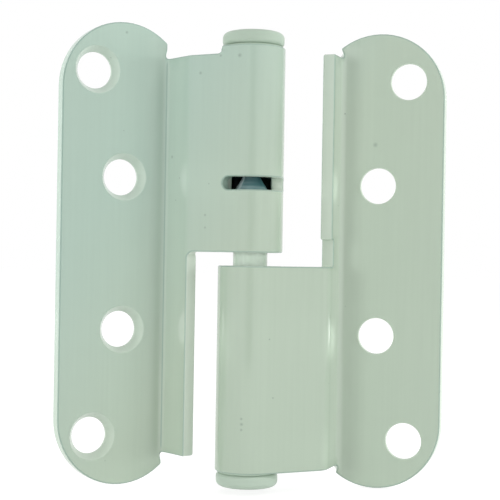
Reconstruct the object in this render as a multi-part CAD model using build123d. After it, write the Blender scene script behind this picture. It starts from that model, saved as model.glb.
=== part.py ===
from build123d import *
from dataclasses import dataclass
from math import acos, asin, atan2, cos, degrees, hypot, radians, sin, tan
import os

# Lift-off door hinge: two folded sheet leaves on a fixed pin, in millimetres.
# Frame: +Z runs up along the pin. The lower leaf's plate lies in the XZ plane and reaches out along +X,
# with its seat face at Y = 0 and the origin at the middle of that face. The barrel stands in front of it,
# on the -Y side.

# Sheet and knuckle
SHEET = 3.0                  # thickness of the folded sheet
BORE_RADIUS = 4.65           # inside of the rolled knuckle
KNUCKLE_LENGTH = 48.5        # each knuckle, end to end
KNUCKLE_GAP = 3.1            # open gap between the two knuckles, where the pin's neck shows
SEAM_GAP = 0.3               # open seam between the rolled edge and the web behind the barrel

# Leaf plates
PLATE_LENGTH = 110.0         # overall height of a plate
PLATE_END_RADIUS = 16.0      # round ends of a plate
CRANK_DEPTH = 16.65          # pin axis to the middle of the plate's thickness
RISER_HEIGHT = 9.7           # fold to fold, along the middle of the sheet
INNER_FOLD_RADIUS = 3.0      # fold between plate and riser, middle of the sheet
OUTER_FOLD_RADIUS = 3.0      # fold between riser and web, middle of the sheet
RELIEF_DEPTH = 1.4           # step in the cut riser beside the lower knuckle
OPEN_ANGLE = 132.0           # between the two plates' front faces, as shown

# Upper leaf
UPPER_FOLD_OFFSET = 14.0     # pin axis to the fold between plate and riser, along the plate
UPPER_RISER_ANGLE = 80.0     # riser against the plate
UPPER_PLATE_WIDTH = 28.05    # the fold to the plate's outer edge
UPPER_KNUCKLE_INSET = 0.6    # knuckle's inner end short of the middle of the leaf
UPPER_RISER_CUT = 10.1       # where the riser ends on the half without a knuckle
UPPER_EAR = 1.26             # past the riser's ends the flat plate runs this far beyond its fold line
UPPER_STRIP_DROP = 1.9       # riser and web short of the knuckle's outer end
UPPER_STEP_ON_WEB = 4.6      # from the barrel's tangent line out to that step
UPPER_STRIP_END = 7.0        # plate's end to the riser's other end

# Lower leaf
LOWER_FOLD_OFFSET = 16.65
LOWER_RISER_ANGLE = 88.0
LOWER_PLATE_WIDTH = 26.55
LOWER_KNUCKLE_INSET = 1.6
LOWER_RISER_CUT = 8.3
LOWER_EAR = 1.94
LOWER_STRIP_END = 5.5
LOWER_RELIEF_LENGTH = 6.5    # step in the riser's cut edge, from the knuckle's inner end

# Screw holes, two pairs per leaf
HOLE_RADIUS = 4.3
COUNTERSINK_RADIUS = 5.65
COUNTERSINK_ANGLE = 62.0
OUTER_HOLE_END = 11.8        # plate's end to the outer holes
INNER_HOLE_SPACING = 36.3    # between the inner two holes
OUTER_HOLE_EDGE = 8.75       # plate's outer edge to the outer holes
INNER_HOLE_EDGE = 15.9       # plate's outer edge to the inner holes

# Slot through the upper knuckle's front wall
SLOT_HEIGHT = 3.0
SLOT_RISE = 14.7             # knuckle's inner end to the slot's lower edge
SLOT_ON_WEB = 3.85           # from the barrel's tangent line out along the web
SLOT_SWEEP = 118.0           # round the barrel from the same line, in degrees

# Pin, bush and plug
NECK_RADIUS = 4.1
PIN_FOOT_CLEARANCE = 2.2     # pin's foot above the lower cap's stem
SHOULDER_DROP = 0.3          # pin's shoulder below the lower knuckle's rim
CONE_DROP = 0.1              # the tip's cone starts this far below the slot
CONE_HALF_ANGLE = 31.0
TIP_RISE = 1.5               # flat end of the tip above the slot
BUSH_LENGTH = 11.0
BUSH_DROP = 0.4              # bush starts this far inside the upper knuckle
RUNNING_CLEARANCE = 0.05     # radial, at the neck and round the bush
PLUG_LENGTH = 10.0
PLUG_CHAMFER = 0.6
PIN_CHAMFER = 0.8

# End caps
CAP_RADIUS = 7.35
CAP_HEIGHT = 3.35
CAP_EDGE_RADIUS = 1.4
CAP_SEAT_RADIUS = 7.0
CAP_SEAT = 0.3               # thin step that leaves a shadow line under the cap
CAP_STEM = 6.0               # length of the cap's stem in the bore

# Worked out from the sizes above
BARREL_RADIUS = BORE_RADIUS + SHEET
ROLL_RADIUS = BORE_RADIUS + SHEET / 2
SEAT_DEPTH = CRANK_DEPTH - SHEET / 2
OUTER_HOLE_SPACING = PLATE_LENGTH - 2 * OUTER_HOLE_END
PIN_GRIP = KNUCKLE_LENGTH - SHOULDER_DROP - CAP_STEM - PIN_FOOT_CLEARANCE


@dataclass(frozen=True)
class LeafSizes:
    """What differs between the two leaves.

    Attributes:
        fold_offset: pin axis to the fold between plate and riser, along the plate, middle of the sheet.
        riser_angle: riser against the plate, in degrees.
        plate_width: the fold to the plate's outer edge.
        knuckle_inset: the knuckle's inner end stops this far short of the middle of the leaf.
        riser_cut: where the riser ends on the half without a knuckle, up from the fold.
        ear: past the riser's ends the flat plate runs this far beyond the start of its fold.
        strip_drop: the riser and web stop this far short of the knuckle's outer end.
        step_on_web: the barrel's tangent line to that step, along the web.
        strip_end: the plate's end to the riser's other end.
        relief_length: length of the step in the riser's cut edge, from the knuckle's inner end.
    """

    fold_offset: float
    riser_angle: float
    plate_width: float
    knuckle_inset: float
    riser_cut: float
    ear: float
    strip_drop: float
    step_on_web: float
    strip_end: float
    relief_length: float

    @property
    def outer_edge(self) -> float:
        """Pin axis to the plate's outer edge, along the plate."""
        return self.fold_offset + self.plate_width

    @property
    def knuckle_outer(self) -> float:
        """Middle of the leaf to the knuckle's outer end."""
        return self.knuckle_inset + KNUCKLE_LENGTH

    @property
    def strip_near(self) -> float:
        """Middle of the leaf to the riser's end beside the knuckle."""
        return self.knuckle_outer - self.strip_drop

    @property
    def strip_far(self) -> float:
        """Middle of the leaf to the riser's other end."""
        return PLATE_LENGTH / 2 - self.strip_end

    @property
    def fold_start(self) -> float:
        """Pin axis to where the plate begins to fold up into the riser."""
        return self.fold_offset + INNER_FOLD_RADIUS * tan(radians(self.riser_angle) / 2)

    @property
    def plate_start(self) -> float:
        """Pin axis to the edge of the plate's ears, past the riser's ends."""
        return self.fold_start - self.ear

    def riser_point(self, height: float) -> tuple[float, float]:
        """Point on the riser's middle line at a height above the fold."""
        angle = radians(self.riser_angle)
        return self.fold_offset - height * cos(angle), CRANK_DEPTH - height * sin(angle)

    @property
    def web_angle(self) -> float:
        """Web against the plate, in degrees: it runs from the riser's top to the front of the roll."""
        x, y = self.riser_point(RISER_HEIGHT)
        return degrees(atan2(y, x) + asin(ROLL_RADIUS / hypot(x, y)))

    def on_web(self, distance: float, depth: float) -> tuple[float, float]:
        """Point on the web, from the barrel's tangent line and from the barrel's axis plane."""
        angle = radians(self.web_angle)
        return (depth * sin(angle) + distance * cos(angle), distance * sin(angle) - depth * cos(angle))


UPPER = LeafSizes(
    fold_offset=UPPER_FOLD_OFFSET,
    riser_angle=UPPER_RISER_ANGLE,
    plate_width=UPPER_PLATE_WIDTH,
    knuckle_inset=UPPER_KNUCKLE_INSET,
    riser_cut=UPPER_RISER_CUT,
    ear=UPPER_EAR,
    strip_drop=UPPER_STRIP_DROP,
    step_on_web=UPPER_STEP_ON_WEB,
    strip_end=UPPER_STRIP_END,
    relief_length=0.0,
)
LOWER = LeafSizes(
    fold_offset=LOWER_FOLD_OFFSET,
    riser_angle=LOWER_RISER_ANGLE,
    plate_width=LOWER_PLATE_WIDTH,
    knuckle_inset=LOWER_KNUCKLE_INSET,
    riser_cut=LOWER_RISER_CUT,
    ear=LOWER_EAR,
    strip_drop=0.0,
    step_on_web=0.0,
    strip_end=LOWER_STRIP_END,
    relief_length=LOWER_RELIEF_LENGTH,
)

# Heights in the part's frame, up from the middle of the lower leaf
LEAF_RISE = KNUCKLE_GAP - UPPER.knuckle_inset - LOWER.knuckle_inset
LOWER_RIM = -LOWER.knuckle_inset
LOWER_END = -LOWER.knuckle_outer
UPPER_RIM = LEAF_RISE + UPPER.knuckle_inset
UPPER_END = LEAF_RISE + UPPER.knuckle_outer
SLOT_BOTTOM = UPPER_RIM + SLOT_RISE
SLOT_TOP = SLOT_BOTTOM + SLOT_HEIGHT
TIP_TOP = SLOT_TOP + TIP_RISE

# Places of the pin axis and the swing of the upper leaf in the part's frame
AXIS_X = -(LOWER.plate_start + LOWER.outer_edge) / 2
AXIS_Y = -SEAT_DEPTH
AXIS = Pos(AXIS_X, AXIS_Y, 0)
UPPER_TURN = 180.0 - OPEN_ANGLE


def sheet_strip(line: Curve, bottom: float, top: float) -> Part:
    """Sheet of even thickness along a middle line drawn in plan, between two heights."""
    return extrude(Pos(0, 0, bottom) * trace(line, line_width=SHEET), amount=top - bottom)


def plate(leaf: LeafSizes) -> Part:
    """Flat plate with round ends, cut off square along its fold, with an ear past each end of the riser."""
    width = 2 * PLATE_END_RADIUS
    outline = Pos(leaf.outer_edge - PLATE_END_RADIUS, 0) * SlotOverall(PLATE_LENGTH, width, rotation=90)
    kept = leaf.outer_edge - leaf.plate_start
    outline &= Pos(leaf.outer_edge - kept / 2, 0) * Rectangle(kept, PLATE_LENGTH)
    between_ears = Rectangle(leaf.ear, leaf.strip_near + leaf.strip_far)
    outline -= Pos(leaf.fold_start - leaf.ear / 2, (leaf.strip_near - leaf.strip_far) / 2) * between_ears
    back_plane = Plane((0, CRANK_DEPTH + SHEET / 2, 0), x_dir=(1, 0, 0), z_dir=(0, -1, 0))
    return extrude(back_plane * outline, amount=SHEET)


def riser_line(leaf: LeafSizes, height: float) -> Curve:
    """Middle line of the fold and the riser, in plan."""
    start = (leaf.fold_start + SHEET, CRANK_DEPTH)
    corner = (leaf.fold_offset, CRANK_DEPTH)
    return Curve() + FilletPolyline(start, corner, leaf.riser_point(height), radius=INNER_FOLD_RADIUS)


def web_line(leaf: LeafSizes) -> Curve:
    """Middle line from half way up the riser, round the outer fold and along the web to the roll."""
    return Curve() + FilletPolyline(
        leaf.riser_point(RISER_HEIGHT / 2),
        leaf.riser_point(RISER_HEIGHT),
        leaf.on_web(0, ROLL_RADIUS),
        radius=OUTER_FOLD_RADIUS,
    )


def roll_line(leaf: LeafSizes) -> Curve:
    """Middle line of the rolled knuckle, from its front round to the seam behind it."""
    seam_angle = degrees(acos((BORE_RADIUS - SEAM_GAP) / BARREL_RADIUS))
    return Curve() + CenterArc((0, 0), ROLL_RADIUS, leaf.web_angle - 90, seam_angle - 360)


def slot_cutter(leaf: LeafSizes) -> Part:
    """Round-ended slot, from the web round the front of the barrel."""
    half = SLOT_HEIGHT / 2
    reach = BARREL_RADIUS + SHEET
    round_angle = degrees(half / ROLL_RADIUS)
    sweep = SLOT_SWEEP - round_angle
    front = leaf.web_angle - 90
    sector = make_face(
        Polyline((0, 0), leaf.on_web(0, reach))
        + CenterArc((0, 0), reach, front, -sweep)
        + Line((reach * cos(radians(front - sweep)), reach * sin(radians(front - sweep))), (0, 0))
    )
    straight = SLOT_ON_WEB - half
    near_edge = [(0, 0), leaf.on_web(0, reach)]
    far_edge = [leaf.on_web(straight, reach), leaf.on_web(straight, 0)]
    web_box = make_face(Polyline(*near_edge, *far_edge, close=True))
    cutter = extrude(sector, SLOT_HEIGHT) + extrude(web_box, SLOT_HEIGHT)
    for distance, angle in ((straight, front), (0, front - sweep)):
        start = leaf.on_web(distance, 0) if distance else (0, 0)
        way = (cos(radians(angle)), sin(radians(angle)), 0)
        end_plane = Plane((*start, half), z_dir=way)
        cutter += extrude(end_plane * Circle(half), reach)
    return cutter


def screw_hole(leaf: LeafSizes, edge: float, height: float, from_front: bool) -> Part:
    """Countersunk screw hole, open on one face of the plate or the other."""
    depth = (COUNTERSINK_RADIUS - HOLE_RADIUS) / tan(radians(COUNTERSINK_ANGLE) / 2)
    face = CRANK_DEPTH - SHEET / 2 if from_front else CRANK_DEPTH + SHEET / 2
    inward = (0, 1, 0) if from_front else (0, -1, 0)
    face_plane = Plane((leaf.outer_edge - edge, face, height), x_dir=(1, 0, 0), z_dir=inward)
    sink = Pos(0, 0, depth / 2) * Cone(COUNTERSINK_RADIUS, HOLE_RADIUS, depth)
    return face_plane * (Pos(0, 0, SHEET / 2) * Cylinder(HOLE_RADIUS, SHEET) + sink)


def leaf_solid(leaf: LeafSizes, from_front: bool) -> Part:
    """One leaf with its knuckle above the middle, plate along +X, middle of its height at zero."""
    inner, near = leaf.knuckle_inset, leaf.strip_near
    stepped = inner - leaf.relief_length
    solid = plate(leaf)
    solid += sheet_strip(riser_line(leaf, leaf.riser_cut), -leaf.strip_far, stepped)
    solid += sheet_strip(riser_line(leaf, leaf.riser_cut - RELIEF_DEPTH), stepped, near)
    solid += sheet_strip(web_line(leaf), inner, near)
    solid += sheet_strip(roll_line(leaf), inner, leaf.knuckle_outer)
    if leaf.step_on_web:
        collar = Line(leaf.on_web(leaf.step_on_web, ROLL_RADIUS), leaf.on_web(0, ROLL_RADIUS))
        solid += sheet_strip(Curve() + collar, inner, leaf.knuckle_outer)
    for edge, spacing in ((OUTER_HOLE_EDGE, OUTER_HOLE_SPACING), (INNER_HOLE_EDGE, INNER_HOLE_SPACING)):
        for side in (-1, 1):
            solid -= screw_hole(leaf, edge, side * spacing / 2, from_front)
    return solid


def turned(points: list[tuple[float, float]]) -> Part:
    """Solid of revolution about the pin axis from a closed outline of radius and height."""
    return revolve(make_face(Plane.XZ * Polyline(*points, close=True)), Axis.Z)


def hinge_pin() -> Part:
    """Stepped pin with a conical tip."""
    foot = LOWER_RIM - SHOULDER_DROP - PIN_GRIP
    cone_start = SLOT_BOTTOM - CONE_DROP
    tip_radius = NECK_RADIUS - (TIP_TOP - cone_start) * tan(radians(CONE_HALF_ANGLE))
    return turned([
        (0, foot),
        (BORE_RADIUS - PIN_CHAMFER, foot),
        (BORE_RADIUS, foot + PIN_CHAMFER),
        (BORE_RADIUS, LOWER_RIM - SHOULDER_DROP),
        (NECK_RADIUS, LOWER_RIM - SHOULDER_DROP),
        (NECK_RADIUS, cone_start),
        (tip_radius, TIP_TOP),
        (0, TIP_TOP),
    ])


def bearing_bush() -> Part:
    """Plain bush between the neck and the upper knuckle."""
    bottom = UPPER_RIM + BUSH_DROP
    inside = NECK_RADIUS + RUNNING_CLEARANCE
    outside = BORE_RADIUS - RUNNING_CLEARANCE
    top = bottom + BUSH_LENGTH
    return turned([(inside, bottom), (outside, bottom), (outside, top), (inside, top)])


def thrust_plug() -> Part:
    """Plug in the upper knuckle that stands on the pin's tip."""
    top = TIP_TOP + PLUG_LENGTH
    return turned([
        (0, TIP_TOP),
        (BORE_RADIUS - PLUG_CHAMFER, TIP_TOP),
        (BORE_RADIUS, TIP_TOP + PLUG_CHAMFER),
        (BORE_RADIUS, top - PLUG_CHAMFER),
        (BORE_RADIUS - PLUG_CHAMFER, top),
        (0, top),
    ])


def end_cap() -> Part:
    """Cap that plugs a knuckle's end, with the knuckle's end face at zero and the head above it."""
    under = CAP_SEAT
    top = CAP_SEAT + CAP_HEIGHT
    cap = turned([
        (0, -CAP_STEM),
        (BORE_RADIUS, -CAP_STEM),
        (BORE_RADIUS, 0),
        (CAP_SEAT_RADIUS, 0),
        (CAP_SEAT_RADIUS, under),
        (CAP_RADIUS, under),
        (CAP_RADIUS, top),
        (0, top),
    ])
    rim = cap.edges().filter_by(GeomType.CIRCLE).group_by(Axis.Z)[-1]
    return fillet(rim, CAP_EDGE_RADIUS)


def upper_leaf() -> Part:
    """Leaf that lifts off: knuckle in its upper half, slotted, countersunk on the front."""
    solid = leaf_solid(UPPER, from_front=True)
    solid -= Pos(0, 0, UPPER.knuckle_inset + SLOT_RISE) * slot_cutter(UPPER)
    facing_left = mirror(solid, about=Plane.YZ)
    return Pos(0, 0, LEAF_RISE) * Rot(0, 0, UPPER_TURN) * facing_left


def lower_leaf() -> Part:
    """Leaf that holds the pin: knuckle in its lower half, countersunk on the back."""
    return mirror(leaf_solid(LOWER, from_front=False), about=Plane.XY)


def build() -> dict[str, Part]:
    """All pieces in the part's frame, by name."""
    return {
        "lower_leaf": AXIS * lower_leaf(),
        "upper_leaf": AXIS * upper_leaf(),
        "hinge_pin": AXIS * hinge_pin(),
        "bearing_bush": AXIS * bearing_bush(),
        "thrust_plug": AXIS * thrust_plug(),
        "upper_cap": AXIS * Pos(0, 0, UPPER_END) * end_cap(),
        "lower_cap": AXIS * Pos(0, 0, LOWER_END) * Rot(180, 0, 0) * end_cap(),
    }


def main() -> None:
    """Write each piece to its own file."""
    os.makedirs("parts", exist_ok=True)
    for name, solid in build().items():
        solid.label = name
        export_step(solid, f"parts/{name}.step")


if __name__ == "__main__":
    main()
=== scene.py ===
"""Lift-off door hinge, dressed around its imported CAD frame.

Each leaf is a flat sheet blank, laid out in two parameters and folded along its middle line, with the
softened edges that stoved enamel gives to sheared steel. The pin, bush, plug and caps are profiles carried
round the pin axis. Sizes are in millimetres and are turned to metres only where a mesh is written.
"""

import logging
import math
from collections.abc import Callable
from dataclasses import dataclass, field
from enum import Enum
from functools import partial

import bpy
import numpy as np
from mathutils import Matrix, Vector
from mathutils.geometry import delaunay_2d_cdt

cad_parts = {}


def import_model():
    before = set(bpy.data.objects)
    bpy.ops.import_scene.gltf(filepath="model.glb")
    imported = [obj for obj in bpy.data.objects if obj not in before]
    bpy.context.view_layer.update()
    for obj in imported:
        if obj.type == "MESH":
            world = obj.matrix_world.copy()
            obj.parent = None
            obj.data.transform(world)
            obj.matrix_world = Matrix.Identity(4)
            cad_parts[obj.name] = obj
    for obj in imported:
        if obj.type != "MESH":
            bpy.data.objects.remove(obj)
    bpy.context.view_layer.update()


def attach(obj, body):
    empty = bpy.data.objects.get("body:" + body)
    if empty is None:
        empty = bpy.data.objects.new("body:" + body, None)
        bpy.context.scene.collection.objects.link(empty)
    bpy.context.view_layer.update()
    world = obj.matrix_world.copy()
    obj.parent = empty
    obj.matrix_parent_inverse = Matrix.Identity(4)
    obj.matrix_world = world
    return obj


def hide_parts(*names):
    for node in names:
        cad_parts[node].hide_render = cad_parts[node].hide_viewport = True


LOG = logging.getLogger("hinge")
Adder = Callable[..., bpy.types.NodeSocket | None]
MM = 0.001

# Place of the pin axis in the frame, and how far the upper leaf is swung and raised there
AXIS_X = -30.4035
AXIS_Y = -15.15
UPPER_TURN_DEG = 48.0
UPPER_RISE = 0.9

# Numbers of a Mix node's sockets, whose names repeat
COLOUR_A, COLOUR_B = 6, 7
NUMBER_A, NUMBER_B = 2, 3
# Settings of a Mix node that mixes colours
RGBA = {"out": 2, "data_type": "RGBA"}
# Band that holds nearly all values of a noise texture
NOISE_LOW, NOISE_HIGH = 0.3, 0.7
# A wave texture of this scale has bands of one unit
WAVE_SCALE = math.pi / 20.0
# Masks that the enamel reads on a leaf: paler edges with painted light, painted shade, and the bore's painted
# shade
EDGE_AND_LIGHT_MASK, PAINTED_SHADE_MASK, BORE_SHADE_MASK = "edge", "painted_shade", "bore"
WHITE = "#FFFFFF"
# A straight run that outlasts any blank, and the blank's bent runs by number
LONG_RUN = 200.0
BENT_RUNS = (1, 3, 5)
# What the triangulation keeps, and the distance at which it joins points
INSIDE_ONLY, JOIN = 1, 1e-6
# Edge points in one batch of distances
EDGE_BATCH = 200


class Face(Enum):
    """Which face of a plate the screw heads sink into."""

    FRONT = 1
    BACK = -1


@dataclass
class Outline:
    """Points along a rounded line, with the unit normal on the right-hand side of travel at each point."""

    points: np.ndarray
    normals: np.ndarray


def linear(hex_code: str) -> tuple[float, float, float, float]:
    """Turn an sRGB hex value into a linear colour.

    Args:
        hex_code: colour such as "#B7CABB".

    Returns:
        Linear red, green and blue, and an alpha of 1.
    """
    srgb = np.array([int(hex_code[i:i + 2], 16) for i in (1, 3, 5)]) / 255.0
    value = np.where(srgb <= 0.04045, srgb / 12.92, ((srgb + 0.055) / 1.055) ** 2.4)
    return float(value[0]), float(value[1]), float(value[2]), 1.0


def add_node(tree: bpy.types.NodeTree, kind: str, feed: dict | None = None, out: int | str = 0,
             **settings: object) -> bpy.types.NodeSocket | None:
    """Add a shader node with its settings and links.

    Args:
        tree: node tree that takes the node.
        kind: Blender's name for the node type, without its prefix.
        feed: input name or number, to a plain value or to the output socket that is linked to it.
        out: name or number of the output that is wanted.
        settings: properties of the node itself.

    Returns:
        That output, or nothing where the node has none.
    """
    node = tree.nodes.new(f"ShaderNode{kind}")
    for name, value in settings.items():
        setattr(node, name, value)
    for key, value in (feed or {}).items():
        if isinstance(value, bpy.types.NodeSocket):
            tree.links.new(value, node.inputs[key])
        else:
            node.inputs[key].default_value = value
    return node.outputs[out] if node.outputs else None


def node_adder(owner: bpy.types.Material | bpy.types.World) -> Adder:
    """Give a material or a world an empty node tree, and return add_node for that tree."""
    owner.use_nodes = True
    owner.node_tree.nodes.clear()
    return partial(add_node, owner.node_tree)


def per_mm(size: float) -> float:
    """Texture scale in Object space of a pattern whose features are this many millimetres wide."""
    return 1.0 / (size * MM)


def rounded_line(corners: list[tuple[float, float, float]], closed: bool, step: float,
                 arc_step: float) -> Outline:
    """Round the corners of a line and sample it.

    A corner of turn d and radius r is cut back by r tan(d / 2) on both sides and filled with an arc.

    Args:
        corners: x, y and radius at each corner; the ends of an open line have no radius.
        closed: whether the last corner joins the first.
        step: longest spacing of samples on a straight run.
        arc_step: longest turn between samples on an arc, in degrees.

    Returns:
        The sampled line and its right-hand normals.
    """
    data = np.asarray(corners, float)
    spots, radii = data[:, :2], data[:, 2].copy()
    before, after = np.roll(spots, 1, 0), np.roll(spots, -1, 0)
    way_in = spots - before
    way_in /= np.linalg.norm(way_in, axis=1)[:, None]
    way_out = after - spots
    way_out /= np.linalg.norm(way_out, axis=1)[:, None]
    if not closed:
        way_in[0], way_out[-1] = way_out[0], way_in[-1]
        radii[[0, -1]] = 0.0
    cross = way_in[:, 0] * way_out[:, 1] - way_in[:, 1] * way_out[:, 0]
    turn = np.arctan2(cross, np.sum(way_in * way_out, axis=1))
    cut = radii * np.tan(np.abs(turn) / 2)
    arc_start, arc_end = spots - way_in * cut[:, None], spots + way_out * cut[:, None]
    points, headings = [], []
    count = len(spots)
    for i in range(count):
        pieces = max(1, math.ceil(math.degrees(abs(turn[i])) / arc_step)) if radii[i] > 0 else 0
        share = np.linspace(0.0, 1.0, pieces + 1) if pieces else np.array([0.0])
        start = math.atan2(way_in[i, 1], way_in[i, 0])
        heading = start + share * turn[i]
        side = math.copysign(1.0, turn[i])
        left = np.array([-math.sin(start), math.cos(start)]) * side
        centre = arc_start[i] + radii[i] * left
        points.append(centre + radii[i] * side * np.column_stack([np.sin(heading), -np.cos(heading)]))
        headings.append(heading)
        if i == count - 1 and not closed:
            break
        nxt = arc_start[(i + 1) % count]
        length = float(np.linalg.norm(nxt - arc_end[i]))
        runs = max(1, math.ceil(length / step))
        inner = np.arange(1, runs) / runs
        points.append(arc_end[i] + inner[:, None] * (nxt - arc_end[i]))
        headings.append(np.full(runs - 1, math.atan2(way_out[i, 1], way_out[i, 0])))
    angle = np.concatenate(headings)
    return Outline(np.concatenate(points), np.column_stack([np.sin(angle), -np.cos(angle)]))


def inside(points: np.ndarray, loop: np.ndarray) -> np.ndarray:
    """Test which points lie in a closed loop, by counting the loop's crossings of a ray along +x.

    Args:
        points: places to test.
        loop: corners of the closed loop.

    Returns:
        True for each point in the loop.
    """
    a, b = loop, np.roll(loop, -1, 0)
    y = points[:, 1][:, None]
    spans = (a[:, 1] > y) != (b[:, 1] > y)
    rise = np.where(b[:, 1] == a[:, 1], 1.0, b[:, 1] - a[:, 1])
    cross_x = a[:, 0] + (y - a[:, 1]) * (b[:, 0] - a[:, 0]) / rise
    return np.count_nonzero(spans & (cross_x > points[:, 0][:, None]), axis=1) % 2 == 1


def in_sheet(points: np.ndarray, loops: list[np.ndarray]) -> np.ndarray:
    """Test which points lie in the first loop, a sheet's outline, and in none of the others, its openings."""
    keep = inside(points, loops[0])
    for loop in loops[1:]:
        keep &= ~inside(points, loop)
    return keep


def ease(share: np.ndarray) -> np.ndarray:
    """Blend from 0 to 1 with level ends, as 3t^2 - 2t^3."""
    t = np.clip(share, 0.0, 1.0)
    return t * t * (3 - 2 * t)


def make_piece(name: str, verts: np.ndarray, faces: list[np.ndarray],
               normals: np.ndarray) -> bpy.types.Object:
    """Put a surface into a new object at the origin.

    Args:
        name: the piece's name.
        verts: points in millimetres, in the part's frame.
        faces: arrays of triangles or quads.
        normals: the surface's own outward normal at each point.

    Returns:
        The object, linked to the scene, with every face turned outwards.
    """
    lists = []
    for block in faces:
        p = verts[block]
        way = np.cross(p[:, 1] - p[:, 0], p[:, 2] - p[:, 0])
        if block.shape[1] == 4:
            way += np.cross(p[:, 2] - p[:, 0], p[:, 3] - p[:, 0])
        wrong = np.sum(way * normals[block].mean(axis=1), axis=1) < 0
        turned = np.where(wrong[:, None], block[:, ::-1], block)
        lists.extend(turned.tolist())
    mesh = bpy.data.meshes.new(name)
    mesh.from_pydata((verts * MM).tolist(), [], lists)
    mesh.polygons.foreach_set("use_smooth", np.ones(len(mesh.polygons), bool))
    mesh.update()
    mesh.normals_split_custom_set_from_vertices(normals.tolist())
    piece = bpy.data.objects.new(name, mesh)
    bpy.context.scene.collection.objects.link(piece)
    return piece


def write_mask(piece: bpy.types.Object, name: str, values: np.ndarray) -> None:
    """Store one number per point, for the piece's material to read.

    Args:
        piece: the object.
        name: attribute name.
        values: one number per point.
    """
    layer = piece.data.attributes.new(name, "FLOAT", "POINT")
    layer.data.foreach_set("value", values.astype(np.float32))


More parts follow.
